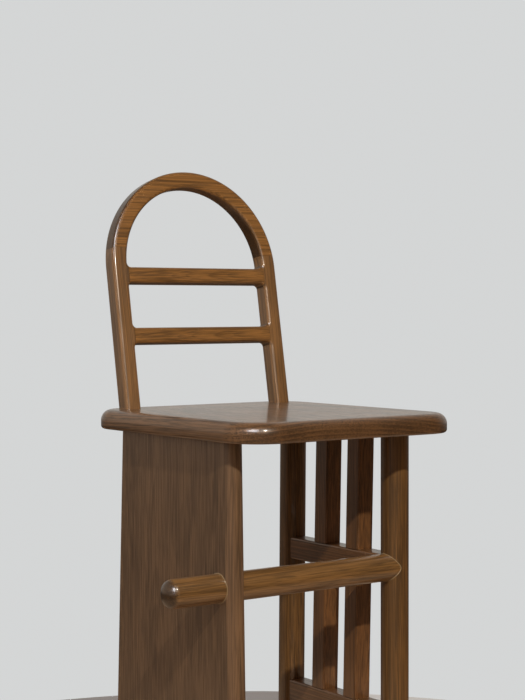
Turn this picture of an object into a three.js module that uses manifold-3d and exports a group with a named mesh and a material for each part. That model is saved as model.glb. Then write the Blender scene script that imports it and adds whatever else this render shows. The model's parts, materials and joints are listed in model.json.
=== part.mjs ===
// A bar stool with a hooped ladder back, in dark stained solid wood, all joints glued.
// A plank seat stands on a solid board on one side and on a lattice on the other: two round legs with
// two square slats and two rails halved into each other between them. A round bar runs through the board,
// ends in a domed peg outside it and is coped onto the front leg.
// Millimetres, +Z up. The sitter faces -Y, and the solid board is on the -X side.
import * as THREE from "three";
import { mergeVertices } from "three/addons/utils/BufferGeometryUtils.js";
import Module from "manifold-3d";

const wasm = await Module();
wasm.setup();

const degrees = Math.PI / 180;

// Fits. Pieces that touch keep fitGap between them, and a cutter runs overrun past the face it opens.
const fitGap = 0.3;
const overrun = 3;

// Seat plank
const seatHeight = 700;
const seatWidth = 390;
const seatDepth = 430;
const seatThickness = 29;
const seatCorner = 60;
const seatTopRound = 16;
const seatBottomRound = 5;

// Hooped back: two uprights, a half-round arch and two slats in one leaning plane. It is glued up
// square and its arrises are then rounded as one, so they run on round the corners of each opening.
// The arch is jointed to the uprights a little above the line where the round begins, on the left
// higher than on the right.
const hoopSideInset = 39;
const hoopRise = 381.2;
const hoopLean = 10 * degrees;
const hoopInset = 28.5;
const hoopMemberWidth = 26.5;
const hoopMemberDepth = 28;
const hoopArrisRadius = 6;
const hoopTenonDiameter = 16;
const hoopTenonLength = 20;
const archJointRiseLeft = 29;
const archJointRiseRight = 20;
const archDowelDiameter = 8;
const archDowelLength = 36;

// The two slats of the back, flush with the hoop. Small round corners join them to the uprights.
const backSlatHeight = 25;
const backSlatCorner = 7;
const backSlatPitch = 96;
const backSlatDrop = 1.7;
const backSlatTenonHeight = 14;
const backSlatTenonDepth = 10;
const backSlatTenonLength = 12;

// Solid side board, wider at the floor. Its upright edges are rounded across the whole thickness and
// leave a faint arris along both faces.
const boardThickness = 30;
const boardEdgeRise = 10.6;
const boardInset = 14.5;
const boardFrontInset = 68;
const boardTopWidth = 288;
const boardFrontRake = 1.2 * degrees;
const boardRearRake = 2.5 * degrees;
const boardDowelDiameter = 10;
const boardDowelLength = 46;
const boardDowelInSeat = 17;
const boardDowelShares = [0.16, 0.5, 0.84];

// Round legs of the lattice side
const legDiameter = 42;
const legInset = 33.5;
const legSpacing = 252;
const rearLegRake = 0.8 * degrees;
const legTenonDiameter = 24;
const legTenonLength = 20;

// Square slats and rails between the legs, halved into each other with their faces flush
const latticeSlatWidth = 30;
const latticeSlatDepth = 31;
const latticeSlatRake = 1.65 * degrees;
const latticeSlatShares = [0.315, 0.627];
const latticeSlatTenon = 16;
const latticeSlatTenonLength = 15;
const railHeight = 35;
const railLevelShares = [0.667, 0.336];
const railTenonHeight = 20;
const railTenonWidth = 10;
const railTenonLength = 11;
const latticeArrisRadius = 3;

// Round bars from the board to the front leg: the upper one runs through the board
const barDiameter = 41;
const barWall = 8.3;
const barTenonDiameter = 18;
const barTenonLength = 13;
const pegLength = 90;
const pegDome = 15;
const footrestTenonDiameter = 24;
const footrestTenonLength = 16;

// Nail-on glides under the legs and under both ends of the board
const glideDiameter = 24;
const glideHeight = 5;
const glideArrisRadius = 1.5;
const glideInset = 26;
const nailDiameter = 2.4;
const nailLength = 20;
const nailHeadDiameter = 6;
const nailHeadHeight = 1.2;
const nailSink = 1.6;

// Steps of the round forms
const arrisSteps = 4;
const stickArrisSteps = 3;
const cornerSteps = 5;
const seatEdgeSteps = 7;
const seatCornerSteps = 9;
const boardEdgeSteps = 12;
const domeSteps = 8;
const archSteps = 36;
const roundSides = 40;
const smallSides = 20;
const glideSides = 24;

// Places that follow from the sizes
const seatUnderside = seatHeight - seatThickness;
const seatLeft = -seatWidth / 2;
const seatRight = seatWidth / 2;
const seatFront = -seatDepth / 2;
const seatRear = seatDepth / 2;
const legRadius = legDiameter / 2;
const barRadius = barDiameter / 2;
const boardLeft = seatLeft + boardInset;
const boardRight = boardLeft + boardThickness;
const boardMiddleX = boardLeft + boardThickness / 2;
const legX = seatRight - legInset - legRadius;
const [upperLevel, lowerLevel] = railLevelShares.map((share) => share * seatHeight);

const boardFrontAt = (z) => seatFront + boardFrontInset - (seatUnderside - z) * Math.tan(boardFrontRake);
const boardRearAt = (z) => {
  const top = seatFront + boardFrontInset + boardTopWidth;
  return top + (seatUnderside - z) * Math.tan(boardRearRake);
};
const barY = boardFrontAt(upperLevel) + barWall + barRadius;
const frontLegY = barY;
const rearLegAt = (z) => frontLegY + legSpacing + (seatUnderside - z) * Math.tan(rearLegRake);
const latticeSlatAt = (share, z) => {
  const top = frontLegY + share * legSpacing;
  return top + (seatUnderside - z) * Math.tan(latticeSlatRake);
};

const hoopRadius = seatWidth / 2 - hoopSideInset;
const hoopSpring = hoopRise - hoopRadius;
const hoopInnerHalf = hoopRadius - hoopMemberWidth;
const upperBackSlat = hoopSpring - backSlatDrop - backSlatHeight / 2;
const lowerBackSlat = upperBackSlat - backSlatPitch;
const hoopFootY = seatRear - hoopInset - hoopMemberDepth / Math.cos(hoopLean);
const hoopPlace = new THREE.Matrix4()
  .makeTranslation(0, hoopFootY, seatHeight)
  .multiply(new THREE.Matrix4().makeRotationX(-hoopLean));

// Colours of the pieces
const walnut = { color: 0x5b371a, roughness: 0.35, metalness: 0 };
const beech = { color: 0xb88c5c, roughness: 0.6, metalness: 0 };
const nylon = { color: 0x2a211b, roughness: 0.6, metalness: 0 };
const steel = { color: 0x9a9ca0, roughness: 0.35, metalness: 1 };

// A closed mesh as a solid that can be joined and cut
function solid(geometry) {
  const bare = geometry.clone();
  bare.deleteAttribute("normal");
  bare.deleteAttribute("uv");
  const merged = mergeVertices(bare);
  const mesh = new wasm.Mesh({
    numProp: 3,
    vertProperties: new Float32Array(merged.attributes.position.array),
    triVerts: new Uint32Array(merged.index.array),
  });
  return new wasm.Manifold(mesh);
}

// The mesh of a joined and cut solid
function meshOf(shape) {
  const { vertProperties, triVerts } = shape.getMesh();
  const geometry = new THREE.BufferGeometry();
  geometry.setAttribute("position", new THREE.BufferAttribute(new Float32Array(vertProperties), 3));
  geometry.setIndex(new THREE.BufferAttribute(new Uint32Array(triVerts), 1));
  return geometry;
}

// A closed skin through rings of points, each counter-clockwise seen from the next ring's side
function loft(rings) {
  const count = rings[0].length;
  const points = rings.flat();
  const faces = [];
  for (let ring = 0; ring + 1 < rings.length; ring += 1) {
    for (let side = 0; side < count; side += 1) {
      const next = (side + 1) % count;
      const a = ring * count + side;
      const b = ring * count + next;
      faces.push(a, b, b + count, a, b + count, a + count);
    }
  }
  const capTriangles = (ring, turned) => {
    const first = ring * count;
    const middle = points.length;
    const centre = rings[ring].reduce((sum, point) => sum.add(point), new THREE.Vector3());
    points.push(centre.divideScalar(count));
    for (let side = 0; side < count; side += 1) {
      const a = first + side;
      const b = first + ((side + 1) % count);
      faces.push(...(turned ? [middle, b, a] : [middle, a, b]));
    }
  };
  capTriangles(0, true);
  capTriangles(rings.length - 1, false);
  const geometry = new THREE.BufferGeometry().setFromPoints(points);
  geometry.setIndex(faces);
  return geometry;
}

// Outline of a rectangle with round corners about the origin, counter-clockwise
function roundedOutline(width, height, radius, steps) {
  const centres = [[1, 1], [-1, 1], [-1, -1], [1, -1]];
  return centres.flatMap(([sideX, sideY], quarter) => {
    const corner = new THREE.Vector2(sideX * (width / 2 - radius), sideY * (height / 2 - radius));
    return Array.from({ length: steps + 1 }, (_, step) => {
      const angle = (quarter + step / steps) * Math.PI / 2;
      return new THREE.Vector2(Math.cos(angle), Math.sin(angle)).multiplyScalar(radius).add(corner);
    });
  });
}

// A block between two corners
function block(low, high) {
  const size = high.map((value, axis) => value - low[axis]);
  const middle = high.map((value, axis) => (value + low[axis]) / 2);
  return solid(new THREE.BoxGeometry(...size).translate(...middle));
}

// A round rod between two points
function rod(diameter, from, to, sides) {
  const start = new THREE.Vector3(...from);
  const end = new THREE.Vector3(...to);
  const along = end.clone().sub(start);
  const geometry = new THREE.CylinderGeometry(diameter / 2, diameter / 2, along.length(), sides);
  const upright = new THREE.Vector3(0, 1, 0);
  const turn = new THREE.Quaternion().setFromUnitVectors(upright, along.clone().normalize());
  geometry.applyQuaternion(turn);
  geometry.translate(...start.add(end).divideScalar(2).toArray());
  return solid(geometry);
}

// Seat: one plank whose outline is drawn in along a quarter round, large above and small below
function seatGeometry() {
  const edge = [];
  for (let step = 0; step <= seatEdgeSteps; step += 1) {
    const angle = (step / seatEdgeSteps) * Math.PI / 2;
    const rise = seatBottomRound * (1 - Math.cos(angle));
    edge.push([seatBottomRound * (1 - Math.sin(angle)), seatUnderside + rise]);
  }
  for (let step = 0; step <= seatEdgeSteps; step += 1) {
    const angle = (step / seatEdgeSteps) * Math.PI / 2;
    const drop = seatTopRound * (1 - Math.sin(angle));
    edge.push([seatTopRound * (1 - Math.cos(angle)), seatHeight - drop]);
  }
  const rings = edge.map(([inset, z]) => {
    const width = seatWidth - 2 * inset;
    const depth = seatDepth - 2 * inset;
    const outline = roundedOutline(width, depth, seatCorner - inset, seatCornerSteps);
    return outline.map((point) => new THREE.Vector3(point.x, point.y, z));
  });
  let plank = solid(loft(rings));
  for (const cutter of seatSockets()) {
    plank = plank.subtract(cutter);
  }
  return meshOf(plank);
}

// Blind sockets in the seat for the tenons and dowels of everything that stands under it or on it
function seatSockets() {
  const sockets = [];
  const mouth = seatUnderside - overrun;
  const legSocketTop = seatUnderside + legTenonLength + fitGap;
  const legSocket = legTenonDiameter + 2 * fitGap;
  for (const yAt of [() => frontLegY, rearLegAt]) {
    const low = [legX, yAt(mouth), mouth];
    const high = [legX, yAt(legSocketTop), legSocketTop];
    sockets.push(rod(legSocket, low, high, roundSides));
  }
  const slatTop = seatUnderside + latticeSlatTenonLength + fitGap;
  for (const share of latticeSlatShares) {
    sockets.push(slatStick(share, mouth, slatTop, latticeSlatTenon, latticeSlatTenon, fitGap));
  }
  for (const share of boardDowelShares) {
    const [x, y] = boardDowelPlace(share);
    const top = seatUnderside + boardDowelInSeat + fitGap;
    sockets.push(rod(boardDowelDiameter + 2 * fitGap, [x, y, mouth], [x, y, top], smallSides));
  }
  for (const side of [-1, 1]) {
    sockets.push(hoopTenon(side, fitGap).transform(hoopPlace.toArray()));
  }
  return sockets;
}

// Round tenon at the foot of an upright of the hoop, in the hoop's own leaning frame
function hoopTenon(side, gap) {
  const x = side * (hoopRadius - hoopMemberWidth / 2);
  const y = hoopMemberDepth / 2;
  const top = hoopMemberDepth * Math.tan(hoopLean) + overrun;
  return rod(hoopTenonDiameter + 2 * gap, [x, y, -hoopTenonLength - gap], [x, y, top], smallSides);
}

// Points along an arc in the plane of the back
function arcPoints(x, z, radius, from, to, steps) {
  return Array.from({ length: steps + 1 }, (_, step) => {
    const angle = from + (step / steps) * (to - from);
    return new THREE.Vector2(x + radius * Math.cos(angle), z + radius * Math.sin(angle));
  });
}

// Outside of the hoop, drawn in by an inset. The feet run on below the seat's top and are cut level later.
function hoopOutline(inset) {
  const radius = hoopRadius - inset;
  const foot = -hoopMemberDepth;
  const arch = arcPoints(0, hoopSpring, radius, 0, Math.PI, archSteps);
  return [new THREE.Vector2(radius, foot), ...arch, new THREE.Vector2(-radius, foot)];
}

// Opening under the arch, with round corners between the arch and the upper slat
function archOpening(grow) {
  const cornerZ = upperBackSlat + backSlatHeight / 2 + backSlatCorner;
  const cornerX = Math.sqrt((hoopInnerHalf - backSlatCorner) ** 2 - (cornerZ - hoopSpring) ** 2);
  const lift = Math.atan2(cornerZ - hoopSpring, cornerX);
  const radius = backSlatCorner + grow;
  const right = arcPoints(cornerX, cornerZ, radius, -Math.PI / 2, lift, cornerSteps);
  const arch = arcPoints(0, hoopSpring, hoopInnerHalf + grow, lift, Math.PI - lift, archSteps);
  const left = arcPoints(-cornerX, cornerZ, radius, Math.PI - lift, 3 * Math.PI / 2, cornerSteps);
  return [...right, ...arch.slice(1, -1), ...left];
}

// Opening between the uprights from one height to another
function straightOpening(low, high, grow) {
  const width = 2 * (hoopInnerHalf + grow);
  const height = high - low + 2 * grow;
  const outline = roundedOutline(width, height, backSlatCorner + grow, cornerSteps);
  return outline.map((point) => new THREE.Vector2(point.x, point.y + (low + high) / 2));
}

// Steps through the depth of the back, from its rear face to its front: each has its depth and the
// distance by which the rounded arris has drawn the edge in there
function arrisProfile() {
  const quarter = [];
  for (let step = 0; step <= arrisSteps; step += 1) {
    const angle = (step / arrisSteps) * Math.PI / 2;
    quarter.push([hoopArrisRadius * (1 - Math.cos(angle)), hoopArrisRadius * (1 - Math.sin(angle))]);
  }
  const rear = quarter.map(([depth, inset]) => [hoopMemberDepth - depth, inset]);
  return [...rear, ...quarter.reverse()];
}

// A closed skin whose outline in the plane of the back follows a profile through its depth
function routed(outlineAt, profile) {
  const rings = profile.map(([depth, inset]) => outlineAt(inset).map((point) => {
    return new THREE.Vector3(point.x, depth, point.y);
  }));
  return solid(loft(rings));
}

// Cutter of an opening, which widens where the arrises round it are rounded
function openingCutter(outlineAt) {
  const rear = [hoopMemberDepth + overrun, hoopArrisRadius];
  const front = [-overrun, hoopArrisRadius];
  return routed(outlineAt, [rear, ...arrisProfile(), front]);
}

// The whole back as it is rounded, its feet cut level with the seat
function backFrame() {
  const half = backSlatHeight / 2;
  const cutters = [
    openingCutter(archOpening),
    openingCutter((grow) => straightOpening(lowerBackSlat + half, upperBackSlat - half, grow)),
    openingCutter((grow) => straightOpening(-2 * hoopMemberDepth, lowerBackSlat - half, grow)),
  ];
  const low = [-hoopRadius - overrun, hoopFootY - hoopRadius, seatHeight - hoopRadius];
  const high = [hoopRadius + overrun, hoopFootY + hoopRadius, seatHeight + fitGap];
  cutters.push(block(low, high).transform(hoopPlace.clone().invert().toArray()));
  return cutters.reduce((frame, cutter) => frame.subtract(cutter), routed(hoopOutline, arrisProfile()));
}

// The space between the uprights from one height to another, with a gap to them
function betweenUprights(low, high, gap) {
  const half = hoopInnerHalf - gap;
  return block([-half, -overrun, low], [half, hoopMemberDepth + overrun, high]);
}

// The part of the hoop's space on one side and a little past its middle, between two heights
function hoopZone(side, low, high) {
  const reach = [-side * overrun, side * (hoopRadius + overrun)].sort((a, b) => a - b);
  return block([reach[0], -overrun, low], [reach[1], hoopMemberDepth + overrun, high]);
}

// Height of the joint between the arch and an upright
function archJoint(side) {
  return hoopSpring + (side < 0 ? archJointRiseLeft : archJointRiseRight);
}

// Dowel across the joint between the arch and an upright, along the hoop's line there
function archDowel(side, gap) {
  const radius = hoopRadius - hoopMemberWidth / 2;
  const angle = Math.asin((archJoint(side) - hoopSpring) / radius);
  const half = archDowelLength / 2 + gap;
  const place = (along) => [
    side * (radius * Math.cos(angle) - along * Math.sin(angle)),
    hoopMemberDepth / 2,
    archJoint(side) + along * Math.cos(angle),
  ];
  return rod(archDowelDiameter + 2 * gap, place(-half), place(half), smallSides);
}

// Upright: the back's frame below the arch's joint and outside the slats, with a round tenon in the
// seat and pockets for the slats' tenons
function uprightGeometry(side) {
  const slatZoneTop = upperBackSlat + backSlatHeight / 2 + backSlatCorner;
  let upright = frameOfBack.intersect(hoopZone(side, -overrun, archJoint(side) - fitGap / 2));
  upright = upright.subtract(betweenUprights(-overrun, slatZoneTop, 0)).add(hoopTenon(side, 0));
  upright = upright.subtract(archDowel(side, fitGap));
  for (const rise of [lowerBackSlat, upperBackSlat]) {
    upright = upright.subtract(backSlatTenon(rise, fitGap));
  }
  return meshOf(upright);
}

// Arch: the back's frame above both joints, with a dowel hole in each end
function archGeometry() {
  let arch = frameOfBack;
  for (const side of [-1, 1]) {
    arch = arch.subtract(hoopZone(side, -overrun, archJoint(side) + fitGap / 2));
    arch = arch.subtract(archDowel(side, fitGap));
  }
  return meshOf(arch);
}

// Long thin block that stands for both end tenons of a back slat
function backSlatTenon(rise, gap) {
  const half = hoopInnerHalf + backSlatTenonLength + gap;
  const middleY = hoopMemberDepth / 2;
  const halfDepth = backSlatTenonDepth / 2 + gap;
  const halfHeight = backSlatTenonHeight / 2 + gap;
  const low = [-half, middleY - halfDepth, rise - halfHeight];
  const high = [half, middleY + halfDepth, rise + halfHeight];
  return block(low, high);
}

// Back slat: the back's frame between the uprights, where it swells into the openings' round corners,
// with a flat tenon at both ends
function backSlatGeometry(rise) {
  const reach = backSlatHeight / 2 + backSlatCorner;
  const slat = frameOfBack.intersect(betweenUprights(rise - reach, rise + reach, fitGap));
  return meshOf(slat.add(backSlatTenon(rise, 0)));
}

// Where a dowel stands in the top of the side board
function boardDowelPlace(share) {
  const front = boardFrontAt(seatUnderside);
  return [boardMiddleX, front + share * (boardRearAt(seatUnderside) - front)];
}

// Outline of the side board seen from above at one height: a strip whose ends are arcs across the
// whole thickness
function boardRing(z) {
  const radius = (boardThickness ** 2 / 4 + boardEdgeRise ** 2) / (2 * boardEdgeRise);
  const spread = Math.asin(boardThickness / 2 / radius);
  const ring = [];
  const roundEdge = (middleY, facing) => {
    for (let step = 0; step <= boardEdgeSteps; step += 1) {
      const angle = facing + (2 * step / boardEdgeSteps - 1) * spread;
      const x = boardMiddleX + radius * Math.cos(angle);
      ring.push(new THREE.Vector3(x, middleY + radius * Math.sin(angle), z));
    }
  };
  roundEdge(boardRearAt(z) - radius, Math.PI / 2);
  roundEdge(boardFrontAt(z) + radius, -Math.PI / 2);
  return ring;
}

// Side board, bored through for the upper bar and blind for the footrest, the dowels and the glide nails
function boardGeometry() {
  let board = solid(loft([boardRing(glideHeight + fitGap), boardRing(seatUnderside - fitGap)]));
  const cutEnd = boardRight + overrun;
  const boreEnds = [boardLeft - overrun, cutEnd].map((x) => [x, barY, upperLevel]);
  board = board.subtract(rod(barDiameter + 2 * fitGap, ...boreEnds, roundSides));
  const socketEnds = [boardRight - footrestTenonLength - fitGap, cutEnd].map((x) => [x, barY, lowerLevel]);
  board = board.subtract(rod(footrestTenonDiameter + 2 * fitGap, ...socketEnds, roundSides));
  for (const share of boardDowelShares) {
    board = board.subtract(boardDowel(share, fitGap));
  }
  for (const foot of feet.filter((place) => place.underBoard)) {
    board = board.subtract(nailHole(foot));
  }
  return meshOf(board);
}

// Dowel between the side board and the seat
function boardDowel(share, gap) {
  const [x, y] = boardDowelPlace(share);
  const top = seatUnderside + boardDowelInSeat + gap;
  return rod(boardDowelDiameter + 2 * gap, [x, y, top - boardDowelLength - 2 * gap], [x, y, top], smallSides);
}

// Leg: a round rod with a thinner tenon in the seat, trimmed level at the floor end and the shoulder
function legGeometry(yAt, railSide, holes) {
  const floorEnd = glideHeight + fitGap;
  const shoulder = seatUnderside - fitGap;
  const reach = 2 * legDiameter;
  const shaftTop = seatHeight + reach;
  const shaft = rod(legDiameter, [legX, yAt(-reach), -reach], [legX, yAt(shaftTop), shaftTop], roundSides);
  const middleY = yAt(seatHeight / 2);
  const trim = block([legX - reach, middleY - reach, floorEnd], [legX + reach, middleY + reach, shoulder]);
  const tenonTop = seatUnderside + legTenonLength;
  const tenonFoot = shoulder - legTenonLength;
  const tenonEnds = [tenonFoot, tenonTop].map((z) => [legX, yAt(z), z]);
  const tenon = rod(legTenonDiameter, ...tenonEnds, roundSides);
  let leg = shaft.intersect(trim).add(tenon);
  for (const level of [upperLevel, lowerLevel]) {
    leg = leg.subtract(railTenon(level, yAt(level), railSide, fitGap));
  }
  for (const hole of holes) {
    leg = leg.subtract(hole);
  }
  return meshOf(leg);
}

// Square stick along the line of a lattice slat, from one height to another
function slatStick(share, low, high, width, depth, gap) {
  const section = roundedOutline(width + 2 * gap, depth + 2 * gap, latticeArrisRadius, stickArrisSteps);
  const ring = (z) => section.map((point) => {
    return new THREE.Vector3(point.x + legX, point.y + latticeSlatAt(share, z), z);
  });
  return solid(loft([ring(low), ring(high)]));
}

// Lattice slat: tenoned into the seat, its inner half cut away where each rail crosses it,
// and ended flush with the underside of the lower rail
function latticeSlatGeometry(share) {
  const foot = lowerLevel - railHeight / 2;
  let slat = slatStick(share, foot, seatUnderside - fitGap, latticeSlatWidth, latticeSlatDepth, 0);
  const tenonTop = seatUnderside + latticeSlatTenonLength;
  const tenonFoot = seatUnderside - latticeSlatTenonLength;
  slat = slat.add(slatStick(share, tenonFoot, tenonTop, latticeSlatTenon, latticeSlatTenon, 0));
  for (const level of [upperLevel, lowerLevel]) {
    slat = slat.subtract(railCrossing(level, share));
  }
  return meshOf(slat);
}

// The inner half of a rail where it crosses a slat, with its clearance
function railCrossing(level, share) {
  const middleY = latticeSlatAt(share, level);
  const reach = latticeSlatDepth;
  const half = railHeight / 2 + fitGap;
  return block([legX - latticeSlatWidth, middleY - reach, level - half],
    [legX + fitGap / 2, middleY + reach, level + half]);
}

// Tenon of a rail in a leg whose middle is at legY: railSide is +1 where the rail lies behind the leg
function railTenon(level, legY, railSide, gap) {
  const face = legY + railSide * legRadius;
  const deep = face - railSide * (railTenonLength + gap);
  const open = face + railSide * overrun;
  const half = railTenonWidth / 2 + gap;
  const rise = railTenonHeight / 2 + gap;
  const low = [legX - half, Math.min(deep, open), level - rise];
  const high = [legX + half, Math.max(deep, open), level + rise];
  return block(low, high);
}

// The round of a bar outside the front leg, with its clearance: the rail behind the leg is scribed to it
function barBeside(level) {
  const reach = barDiameter;
  const ends = [level - reach, level + reach].map((z) => [legX, frontLegY, z]);
  const leg = rod(legDiameter, ...ends, roundSides);
  const round = rod(barDiameter + 2 * fitGap, [boardRight, barY, level], [legX, barY, level], roundSides);
  return round.subtract(leg);
}

// Rail: its ends are scribed to the round legs and the bar, its outer half is cut away for each slat
function railGeometry(level) {
  const rearY = rearLegAt(level);
  const section = roundedOutline(latticeSlatWidth, railHeight, latticeArrisRadius, stickArrisSteps);
  const ring = (y) => section.map((point) => new THREE.Vector3(legX - point.x, y, level + point.y));
  let rail = solid(loft([ring(frontLegY), ring(rearY)]));
  const low = level - railHeight;
  const high = level + railHeight;
  for (const yAt of [() => frontLegY, rearLegAt]) {
    const ends = [low, high].map((z) => [legX, yAt(z), z]);
    rail = rail.subtract(rod(legDiameter + 2 * fitGap, ...ends, roundSides));
  }
  const outerHalf = block([legX - fitGap / 2, frontLegY, low], [legX + latticeSlatWidth, rearY, high]);
  for (const share of latticeSlatShares) {
    const crossing = slatStick(share, low, high, 2 * latticeSlatWidth, latticeSlatDepth, fitGap);
    rail = rail.subtract(crossing.intersect(outerHalf));
  }
  rail = rail.add(railTenon(level, frontLegY, 1, 0)).add(railTenon(level, rearY, -1, 0));
  return meshOf(rail.subtract(barBeside(level)));
}

// Tenon of a bar in the front leg
function barTenon(level, gap) {
  const face = legX - legRadius;
  return rod(barTenonDiameter + 2 * gap, [face - overrun, barY, level],
    [face + barTenonLength + gap, barY, level], smallSides);
}

// Round bar turned about its own axis from a profile of distances along it and radii
function turnedBar(profile, level) {
  const points = profile.map(([along, radius]) => new THREE.Vector2(radius, along));
  const turned = new THREE.LatheGeometry(points, roundSides);
  turned.rotateZ(-Math.PI / 2);
  turned.translate(0, barY, level);
  return solid(turned);
}

// Cuts a bar's end to the round of the front leg and adds its tenon
function coped(bar, level) {
  const ends = [level - barDiameter, level + barDiameter].map((z) => [legX, frontLegY, z]);
  const scribe = rod(legDiameter + 2 * fitGap, ...ends, roundSides);
  return bar.subtract(scribe).add(barTenon(level, 0));
}

// Upper bar: it passes through the board and ends outside it in a domed peg
function throughBarGeometry() {
  const tip = boardLeft - pegLength;
  const profile = [];
  for (let step = 0; step <= domeSteps; step += 1) {
    const angle = (step / domeSteps) * Math.PI / 2;
    profile.push([tip + pegDome * (1 - Math.cos(angle)), barRadius * Math.sin(angle)]);
  }
  profile.push([legX, barRadius]);
  profile.push([legX, 0]);
  return meshOf(coped(turnedBar(profile, upperLevel), upperLevel));
}

// Footrest bar: shouldered against the board, with a stout tenon in it
function footrestGeometry() {
  const tenon = footrestTenonDiameter / 2;
  const shoulder = boardRight + fitGap;
  const end = boardRight - footrestTenonLength;
  const profile = [[end, 0], [end, tenon], [shoulder, tenon], [shoulder, barRadius]];
  profile.push([legX, barRadius], [legX, 0]);
  return meshOf(coped(turnedBar(profile, lowerLevel), lowerLevel));
}

// Feet: one glide under each leg and one near each end of the board
const feet = [
  { name: "leg_front", x: legX, y: frontLegY, underBoard: false },
  { name: "leg_rear", x: legX, y: rearLegAt(0), underBoard: false },
  { name: "panel_front", x: boardMiddleX, y: boardFrontAt(0) + glideInset, underBoard: true },
  { name: "panel_rear", x: boardMiddleX, y: boardRearAt(0) - glideInset, underBoard: true },
];

// Hole that a glide's nail makes in the wood
function nailHole(foot) {
  const top = nailSink + nailHeadHeight + nailLength + fitGap;
  const ends = [glideHeight - overrun, top].map((z) => [foot.x, foot.y, z]);
  return rod(nailDiameter + 2 * fitGap, ...ends, smallSides);
}

// Glide: a round disc with a broken lower edge and a sunk hole for its nail
function glideGeometry(foot) {
  const outer = glideDiameter / 2;
  const sink = nailHeadDiameter / 2 + fitGap;
  const bore = nailDiameter / 2 + fitGap;
  const ledge = nailSink + nailHeadHeight + fitGap;
  const outline = [[sink, 0], [outer - glideArrisRadius, 0], [outer, glideArrisRadius], [outer, glideHeight],
    [bore, glideHeight], [bore, ledge], [sink, ledge], [sink, 0]];
  const points = outline.map(([radius, z]) => new THREE.Vector2(radius, z));
  const glide = new THREE.LatheGeometry(points, glideSides);
  glide.rotateX(Math.PI / 2);
  glide.translate(foot.x, foot.y, 0);
  return glide;
}

// Nail of a glide: a flat round head and a pointed shank
function nailGeometry(foot) {
  const head = nailHeadDiameter / 2;
  const shank = nailDiameter / 2;
  const top = nailSink + nailHeadHeight;
  const point = top + nailLength;
  const outline = [[0, nailSink], [head, nailSink], [head, top], [shank, top],
    [shank, point - nailDiameter], [0, point]];
  const points = outline.map(([radius, z]) => new THREE.Vector2(radius, z));
  const nail = new THREE.LatheGeometry(points, smallSides);
  nail.rotateX(Math.PI / 2);
  nail.translate(foot.x, foot.y, 0);
  return nail;
}

// One named piece
function piece(name, geometry, finish) {
  const mesh = new THREE.Mesh(geometry, new THREE.MeshStandardMaterial(finish));
  mesh.name = name;
  return mesh;
}

const stool = new THREE.Group();
stool.add(piece("seat", seatGeometry(), walnut));

// The back leans as one frame
const frameOfBack = backFrame();
const back = new THREE.Group();
back.applyMatrix4(hoopPlace);
back.add(piece("back_arch", archGeometry(), walnut));
for (const [name, side] of [["left", -1], ["right", 1]]) {
  back.add(piece(`back_upright_${name}`, uprightGeometry(side), walnut));
  back.add(piece(`arch_dowel_${name}`, meshOf(archDowel(side, 0)), beech));
}
back.add(piece("back_slat_upper", backSlatGeometry(upperBackSlat), walnut));
back.add(piece("back_slat_lower", backSlatGeometry(lowerBackSlat), walnut));
stool.add(back);

// The solid side with its dowels
stool.add(piece("side_panel", boardGeometry(), walnut));
["front", "middle", "rear"].forEach((name, index) => {
  stool.add(piece(`panel_dowel_${name}`, meshOf(boardDowel(boardDowelShares[index], 0)), beech));
});

// The lattice side
const barSockets = [upperLevel, lowerLevel].map((level) => barTenon(level, fitGap));
const [frontFoot, rearFoot] = feet;
stool.add(piece("leg_front", legGeometry(() => frontLegY, 1, [...barSockets, nailHole(frontFoot)]), walnut));
stool.add(piece("leg_rear", legGeometry(rearLegAt, -1, [nailHole(rearFoot)]), walnut));
["front", "rear"].forEach((name, index) => {
  stool.add(piece(`lattice_slat_${name}`, latticeSlatGeometry(latticeSlatShares[index]), walnut));
});
stool.add(piece("lattice_rail_upper", railGeometry(upperLevel), walnut));
stool.add(piece("lattice_rail_lower", railGeometry(lowerLevel), walnut));

// The bars that join the two sides
stool.add(piece("through_bar", throughBarGeometry(), walnut));
stool.add(piece("footrest_bar", footrestGeometry(), walnut));

// The feet
for (const foot of feet) {
  stool.add(piece(`glide_${foot.name}`, glideGeometry(foot), nylon));
  stool.add(piece(`glide_nail_${foot.name}`, nailGeometry(foot), steel));
}

// The origin is on the floor, in the middle of the box that the whole stool fills.
// The hoop reaches furthest back at the round of its crown's rear arris.
const crownRise = (hoopRise - hoopArrisRadius) * Math.sin(hoopLean);
const crownDepth = (hoopMemberDepth - hoopArrisRadius) * Math.cos(hoopLean);
const hoopRearReach = hoopFootY + crownRise + crownDepth + hoopArrisRadius;
const boxMiddleX = (boardLeft - pegLength + seatRight) / 2;
const boxMiddleY = (seatFront + Math.max(hoopRearReach, seatRear)) / 2;
stool.position.set(-boxMiddleX, -boxMiddleY, 0);

export default stool;
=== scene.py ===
"""A bar stool with a hooped ladder back, in dark stained open-grained wood with a satin lacquer.

A plank seat stands on a solid board on one side and on a lattice of round legs, square slats and rails
on the other. A round bar runs through the board and meets the front leg. Most tenons and sockets are
hidden in the joints and left to the CAD solids. Metres, +Z up, front at -Y.
"""
import json
import math

import bmesh
import bpy
from mathutils import Matrix, Vector

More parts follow.
